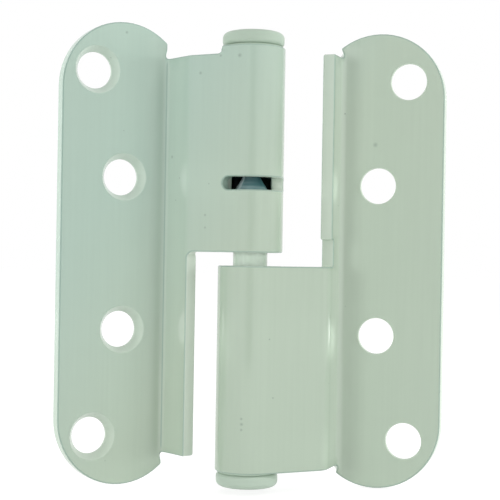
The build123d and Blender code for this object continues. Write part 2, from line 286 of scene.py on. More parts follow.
@dataclass(frozen=True)
class StovedEnamel:
    """Stoved enamel sprayed on folded and sheared steel.

    The eye sees a smooth pale coat with a soft gloss, a faint orange peel, a slow random drift of tone with a
    painted colour cast of the light, cooler to the left and warmer to the right and lower down, and a few
    specks of baked-in dust. The coat is paler on sheared edges, and the same paler colour is painted light on
    the strip faces, risers, knuckle ends and slot walls. Arrises carry a painted dark reflection, the slot
    walls and a sharp crease carry painted shade, and the bore is unpainted steel drawn dark as painted shade.
    """

    coat: str = "#B3C9BC"
    # Colour of a slow random drift of tone, and of the painted colour cast of the light
    drift: str = "#B9C9B7"
    # Paler coat on sheared edges, also laid on shaded faces as painted light
    edge: str = "#E2EDE0"
    # Painted shade in the slot and the crease, and a painted dark reflection on arrises
    painted_shade: str = "#84A398"
    # Painted shade inside the bore
    bore: str = "#2E3B3A"
    speck: str = "#7E8F84"
    # Painted colour cast of the light: its way across the part, its span and its share
    light_tint_way: tuple[float, float, float] = (0.857, 0.0, -0.515)
    light_tint_mm: tuple[float, float] = (-60.0, -27.0)
    light_tint_share: tuple[float, float] = (-0.12, 0.88)
    cloud_mm: float = 34.0
    cloud_share: float = 0.24
    brush_mm: float = 0.9
    brush_squeeze: tuple[float, float, float] = (1.0, 1.0, 0.03)
    brush_shade: float = 0.012
    peel_mm: float = 1.1      # real peel is about 0.4 mm, drawn coarser so that it shows
    peel_depth_mm: float = 0.05
    peel_strength: float = 0.05
    speck_cell_mm: float = 7.0
    speck_mm: float = 0.24
    speck_core: float = 0.55
    speck_strength: float = 0.55
    mark_strength: float = 0.6
    gloss: float = 0.08
    gloss_spread: tuple[float, float] = (0.9, 1.15)
    ior: float = 1.53

    def material(self, name: str, marks: list[tuple[float, float, float, float]]) -> bpy.types.Material:
        """Make the enamel.

        Args:
            name: the material's name.
            marks: single specks, as x, y, z and radius in millimetres in the part's frame.

        Returns:
            The material. It reads the three masks on the piece.
        """
        material = bpy.data.materials.new(name)
        add = node_adder(material)
        place = add("TexCoord", out="Object")
        slow = add("TexNoise", {"Vector": place, "Scale": per_mm(self.cloud_mm), "Detail": 2.0}, "Fac")
        along = add("VectorMath", {0: place, 1: self.light_tint_way}, "Value", operation="DOT_PRODUCT")
        # Painted colour cast of the light, cooler to the left and warmer to the right and lower down, mixed
        # with a slow random cloud
        start, end = self.light_tint_mm
        least, most = self.light_tint_share
        cast = add("MapRange", {
            "Value": along, "From Min": start * MM, "From Max": end * MM, "To Min": least, "To Max": most})
        cast = add("Math", {
            0: slow, 1: self.cloud_share, 2: cast}, operation="MULTIPLY_ADD", use_clamp=True)
        drawn = add("VectorMath", {0: place, 1: self.brush_squeeze}, operation="MULTIPLY")
        lines = add("TexNoise", {"Vector": drawn, "Scale": per_mm(self.brush_mm), "Detail": 3.0}, "Fac")
        shade = add("MapRange", {
            "Value": lines, "From Min": NOISE_LOW, "From Max": NOISE_HIGH,
            "To Min": 1.0 - self.brush_shade, "To Max": 1.0 + self.brush_shade})
        colour = add("Mix", {
            "Factor": cast, COLOUR_A: linear(self.coat), COLOUR_B: linear(self.drift)}, **RGBA)
        colour = add("Mix", {
            "Factor": 1.0, COLOUR_A: colour, COLOUR_B: shade}, **RGBA, blend_type="MULTIPLY")
        edge, painted_shade, bore_shaded = (add("Attribute", out="Fac", attribute_name=mask)
                            for mask in (EDGE_AND_LIGHT_MASK, PAINTED_SHADE_MASK, BORE_SHADE_MASK))
        dust = self.dust(add, place, marks)
        # Paler edges with painted light, painted shade, dust specks and the bore's painted shade, laid over
        # in turn
        for share, paint in ((edge, self.edge), (painted_shade, self.painted_shade), (dust, self.speck), (bore_shaded, self.bore)):
            colour = add("Mix", {"Factor": share, COLOUR_A: colour, COLOUR_B: linear(paint)}, **RGBA)
        peel = add("TexNoise", {"Vector": place, "Scale": per_mm(self.peel_mm), "Detail": 1.0}, "Fac")
        bump = add("Bump", {
            "Height": peel, "Strength": self.peel_strength, "Distance": self.peel_depth_mm * MM})
        sleek, dull = self.gloss_spread
        rough = add("MapRange", {
            "Value": slow, "From Min": NOISE_LOW, "From Max": NOISE_HIGH,
            "To Min": self.gloss * sleek, "To Max": self.gloss * dull})
        shader = add("BsdfPrincipled", {
            "Base Color": colour, "Roughness": rough, "Normal": bump, "IOR": self.ior})
        add("OutputMaterial", {"Surface": shader})
        return material

    def dust(self, add: Adder, place: bpy.types.NodeSocket,
             marks: list[tuple[float, float, float, float]]) -> bpy.types.NodeSocket:
        """Scatter fine specks over the coat and add the single ones.

        Args:
            add: adds a node to the enamel.
            place: Object coordinates.
            marks: single specks, as the material takes them.

        Returns:
            How much of a speck's tone shows.
        """
        cells = add("TexVoronoi", {"Vector": place, "Scale": per_mm(self.speck_cell_mm)}, "Distance")
        reach = self.speck_mm / self.speck_cell_mm
        dust = add("MapRange", {
            "Value": cells, "From Min": reach, "From Max": reach * self.speck_core,
            "To Max": self.speck_strength})
        for x, y, z, radius in marks:
            away = add("VectorMath", {0: place, 1: (x * MM, y * MM, z * MM)}, "Value", operation="DISTANCE")
            spot = add("MapRange", {
                "Value": away, "From Min": radius * MM, "From Max": 0.0, "To Max": self.mark_strength})
            dust = add("Math", {0: dust, 1: spot}, operation="MAXIMUM")
        return dust


@dataclass(frozen=True)
class TurnedSteel:
    """Bright turned steel, with the coat that was sprayed on it where the assembled hinge leaves it open.

    The eye sees a cool metal with faint rings from the cutting tool, and pale enamel below the coat's edge,
    paler than the leaves' coat as painted light in the shaded gap between the knuckles. The tip has deeper
    rings, a painted shadow that darkens it towards its top and to one side, and a painted highlight down the
    other side.
    """

    steel: str = "#C4CFD1"
    stain: str = "#B2BFC2"
    tip: str = "#CCE4E8"
    tip_stain: str = "#6F9AA0"
    # Painted highlight down one side of the tip
    painted_highlight: str = "#E8FAFF"
    # Painted shadow on the tip, darker towards its top and towards the other side
    tip_shadow: str = "#5A8F95"
    # Enamel on the pin's neck, paler than the leaves' coat as painted light in the shaded gap between the
    # knuckles
    coat: str = "#D8E6D9"
    ring_mm: float = 0.5      # a tool feed is about 0.15 mm, drawn coarser so that it shows
    ring_depth_mm: float = 0.02
    ring_strength: float = 0.25
    ring_share: float = 0.15
    stain_mm: float = 3.0
    coat_top_mm: float = -1000.0
    coat_blend_mm: float = 0.15
    tip_from_mm: float = 1000.0
    tip_blend_mm: float = 0.4
    tip_shadow_mm: tuple[float, float] = (0.6, 2.6)
    tip_shadow_share: float = 0.9
    tip_shadow_lean: float = -0.25
    highlight_way: tuple[float, float, float] = (-0.69, -0.724, 0.0)
    highlight_facing: tuple[float, float] = (0.925, 0.965)
    metal: float = 0.85
    tip_metal: float = 0.3
    rough: tuple[float, float] = (0.3, 0.42)
    coat_gloss: float = 0.1

    def material(self, name: str) -> bpy.types.Material:
        """Make the steel.

        Args:
            name: the material's name.

        Returns:
            The material.
        """
        material = bpy.data.materials.new(name)
        add = node_adder(material)
        place = add("TexCoord", out="Object")
        height = add("SeparateXYZ", {0: place}, "Z")
        on_tip = add("MapRange", {
            "Value": height, "From Min": (self.tip_from_mm - self.tip_blend_mm) * MM,
            "From Max": (self.tip_from_mm + self.tip_blend_mm) * MM})
        coated = add("MapRange", {
            "Value": height, "From Min": (self.coat_top_mm + self.coat_blend_mm) * MM,
            "From Max": (self.coat_top_mm - self.coat_blend_mm) * MM})
        rings = add("TexWave", {
            "Vector": place, "Scale": per_mm(self.ring_mm) * WAVE_SCALE, "Distortion": 0.0},
            "Fac", wave_type="BANDS", bands_direction="Z")
        drift = add("TexNoise", {"Vector": place, "Scale": per_mm(self.stain_mm), "Detail": 3.0}, "Fac")
        tone = add("Math", {0: rings, 1: drift}, operation="MULTIPLY")
        flat = add("VectorMath", {
            0: place, 1: (1.0, 1.0, 0.0), 2: (-AXIS_X * MM, -AXIS_Y * MM, 0.0)}, operation="MULTIPLY_ADD")
        way = add("VectorMath", {0: flat}, operation="NORMALIZE")
        # Painted highlight down one side of the tip
        facing = add("VectorMath", {0: way, 1: self.highlight_way}, "Value", operation="DOT_PRODUCT")
        least, most = self.highlight_facing
        painted_highlight = add("MapRange", {"Value": facing, "From Min": least, "From Max": most})
        # Painted shadow: darker towards the tip's top and on the side away from the highlight
        low, high = self.tip_shadow_mm
        shading = add("MapRange", {
            "Value": height, "From Min": (self.tip_from_mm + low) * MM,
            "From Max": (self.tip_from_mm + high) * MM, "To Max": self.tip_shadow_share})
        shading = add("Math", {
            0: facing, 1: self.tip_shadow_lean, 2: shading}, operation="MULTIPLY_ADD", use_clamp=True)
        cone = linear(self.tip)
        for share, paint in ((tone, self.tip_stain), (shading, self.tip_shadow), (painted_highlight, self.painted_highlight)):
            cone = add("Mix", {"Factor": share, COLOUR_A: cone, COLOUR_B: linear(paint)}, **RGBA)
        colour = linear(self.steel)
        for share, over in ((tone, linear(self.stain)), (on_tip, cone), (coated, linear(self.coat))):
            colour = add("Mix", {"Factor": share, COLOUR_A: colour, COLOUR_B: over}, **RGBA)
        metal = add("MapRange", {"Value": on_tip, "To Min": self.metal, "To Max": self.tip_metal})
        metal = add("Mix", {"Factor": coated, NUMBER_A: metal, NUMBER_B: 0.0})
        rough = add("MapRange", {"Value": drift, "To Min": self.rough[0], "To Max": self.rough[1]})
        rough = add("Mix", {"Factor": coated, NUMBER_A: rough, NUMBER_B: self.coat_gloss})
        depth = add("MapRange", {"Value": on_tip, "To Min": self.ring_share})
        cuts = add("Math", {0: rings, 1: depth}, operation="MULTIPLY")
        bump = add("Bump", {
            "Height": cuts, "Strength": self.ring_strength, "Distance": self.ring_depth_mm * MM})
        shader = add("BsdfPrincipled", {
            "Base Color": colour, "Metallic": metal, "Roughness": rough, "Normal": bump})
        add("OutputMaterial", {"Surface": shader})
        return material


@dataclass(frozen=True)
class MouldedNylon:
    """Injection-moulded nylon in the colour of the enamel.

    The eye sees an even, slightly softer surface than the enamel, with a faint spark-eroded grain.
    """

    body: str = "#B5C7B7"
    drift: str = "#B2C4B3"
    cloud_mm: float = 6.0
    grain_mm: float = 0.7     # real grain is about 0.1 mm, drawn coarser so that it shows
    grain_depth_mm: float = 0.04
    grain_strength: float = 0.06
    gloss: float = 0.38
    gloss_spread: tuple[float, float] = (0.9, 1.1)
    ior: float = 1.53

    def material(self, name: str) -> bpy.types.Material:
        """Make the nylon.

        Args:
            name: the material's name.

        Returns:
            The material.
        """
        material = bpy.data.materials.new(name)
        add = node_adder(material)
        place = add("TexCoord", out="Object")
        slow, grain = (add("TexNoise", {"Vector": place, "Scale": per_mm(size), "Detail": 2.0}, "Fac")
                       for size in (self.cloud_mm, self.grain_mm))
        colour = add("Mix", {
            "Factor": slow, COLOUR_A: linear(self.body), COLOUR_B: linear(self.drift)}, **RGBA)
        bump = add("Bump", {
            "Height": grain, "Strength": self.grain_strength, "Distance": self.grain_depth_mm * MM})
        sleek, dull = self.gloss_spread
        rough = add("MapRange", {"Value": slow, "To Min": self.gloss * sleek, "To Max": self.gloss * dull})
        shader = add("BsdfPrincipled", {
            "Base Color": colour, "Roughness": rough, "Normal": bump, "IOR": self.ior})
        add("OutputMaterial", {"Surface": shader})
        return material


@dataclass(frozen=True)
class MiddleLine:
    """A sheet's middle line in plan, as a chain of straight runs and arcs.

    Attributes:
        start: first point.
        heading: first direction, in radians.
        runs: length and curvature of each run in turn; a left turn is positive.
    """

    start: tuple[float, float]
    heading: float
    runs: tuple[tuple[float, float], ...]

    def at(self, s: np.ndarray) -> tuple[np.ndarray, np.ndarray]:
        """Find places along the line.

        On a run of curvature k the heading grows by k times the distance t, and the point moves by
        (sin(h + kt) - sin h) / k and (cos h - cos(h + kt)) / k, or straight on where k is zero.

        Args:
            s: distances from the start.

        Returns:
            Points and headings there.
        """
        lengths = np.array([run[0] for run in self.runs])
        bends = np.array([run[1] for run in self.runs])
        ends = np.concatenate([[0.0], np.cumsum(lengths)])
        turns = np.concatenate([[self.heading], self.heading + np.cumsum(lengths * bends)])
        spots = [np.array(self.start)]
        for i, (length, bend) in enumerate(self.runs):
            spots.append(spots[-1] + self._move(np.array([length]), np.array([bend]), turns[i:i + 1])[0])
        which = np.clip(np.searchsorted(ends, s, side="right") - 1, 0, len(lengths) - 1)
        t = s - ends[which]
        move = self._move(t, bends[which], turns[which])
        return np.array(spots)[which] + move, turns[which] + t * bends[which]

    @staticmethod
    def _move(t: np.ndarray, bend: np.ndarray, heading: np.ndarray) -> np.ndarray:
        """Move by a distance along a straight run or an arc."""
        safe = np.where(bend == 0, 1.0, bend)
        round_x = (np.sin(heading + t * bend) - np.sin(heading)) / safe
        round_y = (np.cos(heading) - np.cos(heading + t * bend)) / safe
        flat = bend == 0
        x = np.where(flat, t * np.cos(heading), round_x)
        y = np.where(flat, t * np.sin(heading), round_y)
        return np.column_stack([x, y])


@dataclass
class FoldedLeaf:
    """One leaf: a flat blank with holes, folded into plate, riser, web and rolled knuckle.

    The leaf is worked out with its plate along +u, its front towards -v and its knuckle above the middle.
    """

    node: str
    body: str
    heads: Face
    fold_offset: float
    riser_angle: float
    plate_width: float
    knuckle_inset: float
    riser_cut: float
    ear: float
    strip_drop: float
    step_on_web: float
    strip_end: float
    relief_length: float
    slotted: bool
    upper: bool
    crease: float
    marks: list[tuple[float, float, float, float]] = field(default_factory=list)
    # Sheet, folds and openings
    sheet: float = 3.0
    bore_radius: float = 4.65
    knuckle_length: float = 48.5
    seam_gap: float = 0.3
    plate_length: float = 110.0
    end_radius: float = 16.0
    crank_depth: float = 16.65
    riser_height: float = 9.7
    inner_fold: float = 3.0
    outer_fold: float = 3.0
    relief_depth: float = 1.4
    hole_radius: float = 4.3
    sink_radius: float = 5.65
    sink_angle: float = 62.0
    outer_hole: tuple[float, float] = (8.75, 43.2)
    inner_hole: tuple[float, float] = (15.9, 18.15)
    slot_height: float = 3.0
    slot_rise: float = 14.7
    slot_on_web: float = 3.85
    slot_sweep: float = 118.0
    # Softened edges and corners
    soft_edge: float = 0.38
    lip: float = 0.02
    sink_corner: float = 0.5
    corner: float = 0.6
    relief_corner: float = 0.45
    relief_inner: float = 0.7
    web_corner: float = 0.9
    step_corner: float = 1.1
    ear_flat: float = 0.7
    # Spacing of the mesh
    run_step: float = 0.5
    bend_step: float = 0.35
    flat_step: float = 4.0
    z_step: float = 2.0
    first_row: float = 0.7
    edge_clear: float = 0.3
    wall_step: float = 5.0
    outline_arc_deg: float = 6.0
    wall_arc_deg: float = 18.0
    slot_arc_deg: float = 8.0
    hole_steps: int = 72
    blend_rows: int = 7
    blend_height: float = 1.5
    ear_blend: float = 2.5
    notch: float = 1.2
    hole_count: int = 4
    # Coat on edges, painted light on strips, risers, knuckle ends and slot walls, painted shade in slot and
    # crease, painted dark reflection on arrises
    hole_pale: float = 0.55
    rim_pale: float = 0.1
    strip_painted_light: float = 0.45
    slot_painted_light: float = 0.65
    riser_painted_light: float = 0.0
    riser_light_reach: float = 4.5
    arris_shade: float = 0.65
    slot_shade: float = 0.5
    crease_half: float = 0.5
    face_ramp: float = 1.4
    bore_skin: float = 0.05

    def __post_init__(self) -> None:
        """Work out the folds' places along the middle line."""
        angle = math.radians(self.riser_angle)
        top = (self.fold_offset - self.riser_height * math.cos(angle),
               self.crank_depth - self.riser_height * math.sin(angle))
        roll = self.bore_radius + self.sheet / 2
        web = math.atan2(top[1], top[0]) + math.asin(roll / math.hypot(*top))
        cut_in = self.inner_fold * math.tan(angle / 2)
        cut_out = self.outer_fold * math.tan((angle - web) / 2)
        tangent = (roll * math.sin(web), -roll * math.cos(web))
        web_run = math.dist(top, tangent) - cut_out
        seam = math.acos((self.bore_radius - self.seam_gap) / (self.bore_radius + self.sheet))
        outer_edge = self.fold_offset + self.plate_width
        plate = self.plate_width - cut_in
        first = ((plate, 0.0), (self.inner_fold * angle, 1 / self.inner_fold))
        riser = self.riser_height - cut_in - cut_out
        rest = ((riser, 0.0), (self.outer_fold * (angle - web), -1 / self.outer_fold), (web_run, 0.0),
                (roll * (2 * math.pi - seam), -1 / roll))
        start = (outer_edge, self.crank_depth)
        self.folded = MiddleLine(start, math.pi, first + rest)
        self.upright = MiddleLine(start, math.pi, first + ((LONG_RUN, 0.0),))
        self.level = MiddleLine(start, math.pi, ((LONG_RUN, 0.0),))
        bends = np.cumsum([run[0] for run in first + rest])
        self.crease_at = (bends[0] + bends[1]) / 2
        self.plate_end = plate + self.ear
        self.cut_at = bends[1] + self.riser_cut - cut_in
        self.relief_at = self.cut_at - self.relief_depth
        self.bends = bends
        self.roll_radius = roll
        self.knuckle_end = self.knuckle_inset + self.knuckle_length
        self.strip_near = self.knuckle_end - self.strip_drop
        self.strip_far = self.plate_length / 2 - self.strip_end

    def fold(self, flat: np.ndarray, depth: np.ndarray) -> tuple[np.ndarray, np.ndarray, np.ndarray]:
        """Fold points of the blank into the leaf.

        A point moves along the middle line by its first parameter and off it, towards the front, by its
        depth. Below the knuckle the riser runs straight on, and past the riser's ends the plate's ears stay
        flat. The lines blend over a short height there.

        Args:
            flat: distance from the plate's outer edge, and height.
            depth: distance in front of the middle of the sheet.

        Returns:
            Points in the leaf's own frame, and the directions along the blank and out of its front there.
        """
        s, z = flat[:, 0], flat[:, 1]
        bent, bent_way = self.folded.at(s)
        plain, plain_way = self.upright.at(s)
        share = ease((z - self.knuckle_inset) / self.blend_height + 1.0)
        middle = plain + (bent - plain) * share[:, None]
        way = plain_way + (bent_way - plain_way) * share
        flat_middle, flat_way = self.level.at(s)
        past = np.maximum(z - self.strip_near, -self.strip_far - z) / self.ear_blend
        ear = np.where(s < self.plate_end + 2 * self.notch, ease(past), 0.0)
        middle = middle + (flat_middle - middle) * ear[:, None]
        way = way + (flat_way - way) * ear
        along = np.column_stack([np.cos(way), np.sin(way), np.zeros_like(way)])
        front = np.column_stack([-np.sin(way), np.cos(way), np.zeros_like(way)])
        return np.column_stack([middle, z]) + front * depth[:, None], along, front

    def blank_outline(self) -> Outline:
        """Outline of the flat blank, with every corner rounded, counter-clockwise."""
        half, big, r = self.plate_length / 2, self.end_radius, self.corner
        near, far, ear = self.strip_near, self.strip_far, self.plate_end
        inner, stepped = self.knuckle_inset, self.knuckle_inset - self.relief_length
        lean = math.asin((ear - self.ear_flat - big) / big)
        touch = (big + big * math.sin(lean), half - big + big * math.cos(lean))
        q = touch[0] - (half - touch[1]) / math.tan(lean)
        tip = touch[1] - (ear - touch[0]) * math.tan(lean)
        end = self.bends[-1]
        corners = [(0.0, -half, big), (q, -half, big), (ear, -tip, r), (ear, -far, self.notch),
                   (self.cut_at, -far, r)]
        if self.relief_length:
            corners += [(self.cut_at, stepped, self.relief_corner),
                        (self.relief_at, stepped, self.relief_corner),
                        (self.relief_at, inner, self.relief_inner)]
        else:
            corners += [(self.cut_at, inner, self.web_corner)]
        corners += [(end, inner, r), (end, self.knuckle_end, r)]
        if self.strip_drop:
            step = self.bends[-2] - self.step_on_web
            corners += [(step, self.knuckle_end, r), (step, near, self.step_corner)]
        corners += [(ear, near, self.notch), (ear, tip, r), (q, half, big), (0.0, half, big)]
        return rounded_line(corners, True, self.run_step, self.outline_arc_deg)

    def edge_profile(self) -> Outline:
        """Softened edge of the sheet, from front to back, as inset and depth."""
        half, e = self.sheet / 2, self.soft_edge
        corners = [(e + self.lip, half, 0), (0, half, e), (0, -half, e), (e + self.lip, -half, 0)]
        return rounded_line(corners, False, self.wall_step, self.wall_arc_deg)

    def sink_profile(self) -> Outline:
        """Countersunk hole's wall, from the heads' face to the other, as distance from the bore and depth."""
        half, e = self.sheet / 2, self.soft_edge
        wide = self.sink_radius - self.hole_radius
        deep = wide / math.tan(math.radians(self.sink_angle) / 2)
        corners = [(wide + e, half, 0), (wide, half, e), (0, half - deep, self.sink_corner), (0, -half, e),
                   (e + self.lip, -half, 0)]
        return rounded_line(corners, False, self.wall_step, self.wall_arc_deg)

    def openings(self) -> list[tuple[Outline, Outline]]:
        """Holes and slot in the blank, clockwise, each with the profile of its wall."""
        turn = np.linspace(0.0, -2 * math.pi, self.hole_steps, endpoint=False)
        ring = np.column_stack([np.cos(turn), np.sin(turn)])
        sink = self.sink_profile()
        if self.heads is Face.BACK:
            mirrored = sink.points * (1, -1)
            sink = Outline(mirrored[::-1], (sink.normals * (1, -1))[::-1])
        found = []
        for edge, height in (self.outer_hole, self.inner_hole):
            for side in (-1, 1):
                found.append((Outline(ring * self.hole_radius + (edge, side * height), -ring), sink))
        if self.slotted:
            half, low = self.slot_height / 2, self.knuckle_inset + self.slot_rise
            high = low + self.slot_height
            left = self.bends[-2] - self.slot_on_web
            right = self.bends[-2] + self.roll_radius * math.radians(self.slot_sweep)
            corners = [(left, low, half), (left, high, half), (right, high, half), (right, low, half)]
            found.append((rounded_line(corners, True, self.run_step, self.slot_arc_deg), self.edge_profile()))
        return found

    def grid(self, loops: list[np.ndarray]) -> np.ndarray:
        """Points inside the blank: close together across the bends and wide apart on the flats.

        Args:
            loops: the outline and the openings of one face.

        Returns:
            Grid points that lie in the blank and clear of its edges.
        """
        ends = np.concatenate([[0.0], self.bends])
        columns = [np.arange(a, b, self.bend_step if i in BENT_RUNS else self.flat_step)
                   for i, (a, b) in enumerate(zip(ends[:-1], ends[1:]))]
        columns.append(self.crease_at + self.crease_half * np.array([-1.0, 0.0, 1.0]))
        half = self.plate_length / 2
        even = np.arange(self.first_row - half, half, self.z_step)
        bent = [self.knuckle_inset - self.blend_height, -self.strip_far - self.ear_blend, self.strip_near]
        close = [start + np.linspace(0.0, self.ear_blend, self.blend_rows) for start in bent]
        rows = np.unique(np.concatenate([even] + close))
        s, z = np.meshgrid(np.concatenate(columns), rows)
        points = np.column_stack([s.ravel(), z.ravel()])
        points = points[in_sheet(points, loops)]
        edges = np.concatenate(loops)
        clear = np.full(len(points), np.inf)
        for part in np.array_split(edges, max(1, len(edges) // EDGE_BATCH)):
            gap = np.linalg.norm(points[:, None, :] - part[None, :, :], axis=2).min(axis=1)
            clear = np.minimum(clear, gap)
        return points[clear > self.edge_clear]

    def skin(self, loops: list[np.ndarray]) -> tuple[np.ndarray, np.ndarray]:
        """Fill one face of the blank with triangles.

        Args:
            loops: the outline, then the openings.

        Returns:
            Points, with the loops' own first and in order, and the triangles between them.
        """
        points = np.concatenate(loops + [self.grid(loops)])
        starts = np.cumsum([0] + [len(loop) for loop in loops])
        edges = []
        for first, last in zip(starts[:-1], starts[1:]):
            ring = np.arange(first, last)
            edges.extend(np.column_stack([ring, np.roll(ring, -1)]).tolist())
        result = delaunay_2d_cdt([Vector(p) for p in points.tolist()], edges, [], INSIDE_ONLY, JOIN)
        source = np.array([ids[0] for ids in result[3]])
        triangles = source[np.array(result[2])]
        return points, triangles[in_sheet(points[triangles].mean(axis=1), loops)]

    def build(self) -> bpy.types.Object:
        """Build the leaf's mesh: two skins, and a wall carried along each edge between them.

        Returns:
            The leaf, in the part's frame, with the enamel's three masks.
        """
        walls = [(self.blank_outline(), self.edge_profile())] + self.openings()
        flats, depths, tilts, faces, edge_and_light_mask, painted_shade_mask = [], [], [], [], [], []
        front_ids, back_ids, front_loops, back_loops = [], [], [], []
        total = 0
        for number, (outline, profile) in enumerate(walls):
            rows, count = len(profile.points), len(outline.points)
            inset = profile.points[:, 0][:, None, None]
            flat = outline.points[None] - inset * outline.normals[None]
            ids = total + np.arange(rows * count).reshape(rows, count)
            following = np.roll(ids, -1, axis=1)
            faces.append(np.stack([ids[:-1], following[:-1], following[1:], ids[1:]], axis=-1).reshape(-1, 4))
            flats.append(flat.reshape(-1, 2))
            depths.append(np.repeat(profile.points[:, 1], count))
            way = self.wall_way(profile)
            tilt = np.concatenate([outline.normals[None] * way[:, 0][:, None, None],
                                   np.broadcast_to(way[:, 1][:, None, None], (rows, count, 1))], axis=2)
            tilts.append(tilt.reshape(-1, 3))
            paler, painted_shade_values = self.edge_coat_and_light(outline.points[:, 0], way[:, 0], number)
            edge_and_light_mask.append(paler)
            painted_shade_mask.append(painted_shade_values)
            front_ids.append(ids[0])
            back_ids.append(ids[-1])
            front_loops.append(flat[0])
            back_loops.append(flat[-1])
            total += rows * count
        for ids, loops, side in ((front_ids, front_loops, 1.0), (back_ids, back_loops, -1.0)):
            points, triangles = self.skin(loops)
            rim = np.concatenate(ids)
            inner = points[len(rim):]
            lookup = np.concatenate([rim, total + np.arange(len(inner))])
            faces.append(lookup[triangles])
            flats.append(inner)
            depths.append(np.full(len(inner), side * self.sheet / 2))
            tilts.append(np.tile([0.0, 0.0, side], (len(inner), 1)))
            # Painted light that lifts the shaded plate and riser by the fold: its share comes up over a
            # quarter of its reach and goes down over the last quarter
            near, far = self.bends[0] - self.riser_light_reach, self.bends[3]
            up = (inner[:, 0] - near) / (far - near)
            edge_and_light_mask.append(self.riser_painted_light * np.clip(2 - np.abs(4 * up - 2), 0, 1) * (side > 0))
            # Painted shade along the sharp inner crease
            off = np.abs(inner[:, 0] - self.crease_at) / self.crease_half
            painted_shade_mask.append(self.crease * np.clip(1 - off, 0, 1) * (side > 0))
            total += len(inner)
        flat, depth, tilt = np.concatenate(flats), np.concatenate(depths), np.concatenate(tilts)
        points, along, front = self.fold(flat, depth)
        normals = along * tilt[:, :1] + front * tilt[:, 2:] + np.array([0.0, 0.0, 1.0]) * tilt[:, 1:2]
        piece = make_piece(
            f"{self.node}_enamelled", self.to_frame(points), faces, self.to_frame(normals, False))
        write_mask(piece, EDGE_AND_LIGHT_MASK, np.concatenate(edge_and_light_mask))
        write_mask(piece, PAINTED_SHADE_MASK, np.concatenate(painted_shade_mask))
        # Painted shade inside the bore
        in_bore = (flat[:, 0] > self.bends[-2]) & (depth < self.bore_skin - self.sheet / 2)
        write_mask(piece, BORE_SHADE_MASK, in_bore.astype(float))
        return piece

    def edge_coat_and_light(self, s: np.ndarray, out: np.ndarray, number: int) -> tuple[np.ndarray, np.ndarray]:
        """Coat on the wall of one edge, with its painted light and painted shade.

        Args:
            s: distance from the plate's outer edge, along the wall.
            out: how far the wall faces out of the blank, from front to back.
            number: 0 for the outline, then the holes and the slot in their order.

        Returns:
            Values of the mask of paler edges and painted light, and of the painted-shade mask, for each
            profile point and each place along the wall.
        """
        hole = 0 < number <= self.hole_count
        on_plate = s < self.plate_end + self.notch
        in_slot = (number > self.hole_count) & (s < self.bends[-2])
        strip = (number == 0) & ~on_plate & (s < self.bends[-2])
        seam = (number == 0) & (s > self.bends[-1] - self.sheet)
        # Painted light: the knuckle's ends as a highlight, and the slot walls in the barrel and the strip
        # faces lightened against their shade
        rolled = np.where(seam | in_slot, 0.0, 1.0 if number == 0 else self.slot_painted_light)
        bent = np.where(strip, self.strip_painted_light, rolled)
        pale = np.where(on_plate, self.hole_pale if hole else self.rim_pale, bent)
        face = np.clip(1 - self.face_ramp * (1 - out), 0, 1)[:, None]
        # Painted dark reflection along each arris, and painted shade on the slot's walls in the web
        arris = np.clip(4 * out * (1 - out), 0, 1)[:, None] * (0.0 if hole else self.arris_shade)
        painted_shade = np.maximum(arris, face * np.where(in_slot, self.slot_shade, 0.0))
        return (face * pale).ravel(), painted_shade.ravel()

    @staticmethod
    def wall_way(profile: Outline) -> np.ndarray:
        """Way that a wall faces at each point of its profile, as out of the blank and towards its front.

        The profile runs from front to back with inset to the right, so its right-hand normal points out of
        the metal.
        """
        return profile.normals * (-1.0, 1.0)

    def to_frame(self, points: np.ndarray, places: bool = True) -> np.ndarray:
        """Turn the leaf's own frame into the part's.

        Args:
            points: points or directions.
            places: whether they are points, which also move.

        Returns:
            The same in the part's frame.
        """
        if self.upper:
            a = math.radians(UPPER_TURN_DEG)
            x = -points[:, 0] * math.cos(a) - points[:, 1] * math.sin(a)
            y = -points[:, 0] * math.sin(a) + points[:, 1] * math.cos(a)
            moved = np.column_stack([x, y, points[:, 2]])
            shift = (AXIS_X, AXIS_Y, UPPER_RISE)
        else:
            moved = points * (1.0, 1.0, -1.0)
            shift = (AXIS_X, AXIS_Y, 0.0)
        return moved + shift if places else moved

    def dress(self, enamel: StovedEnamel) -> bpy.types.Object:
        """Build the leaf, coat it and fix it to its body.

        Args:
            enamel: the finish.

        Returns:
            The finished piece.
        """
        piece = self.build()
        piece.data.materials.append(enamel.material(f"stoved_enamel_{self.node}", self.marks))
        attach(piece, self.body)
        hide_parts(self.node)
        return piece


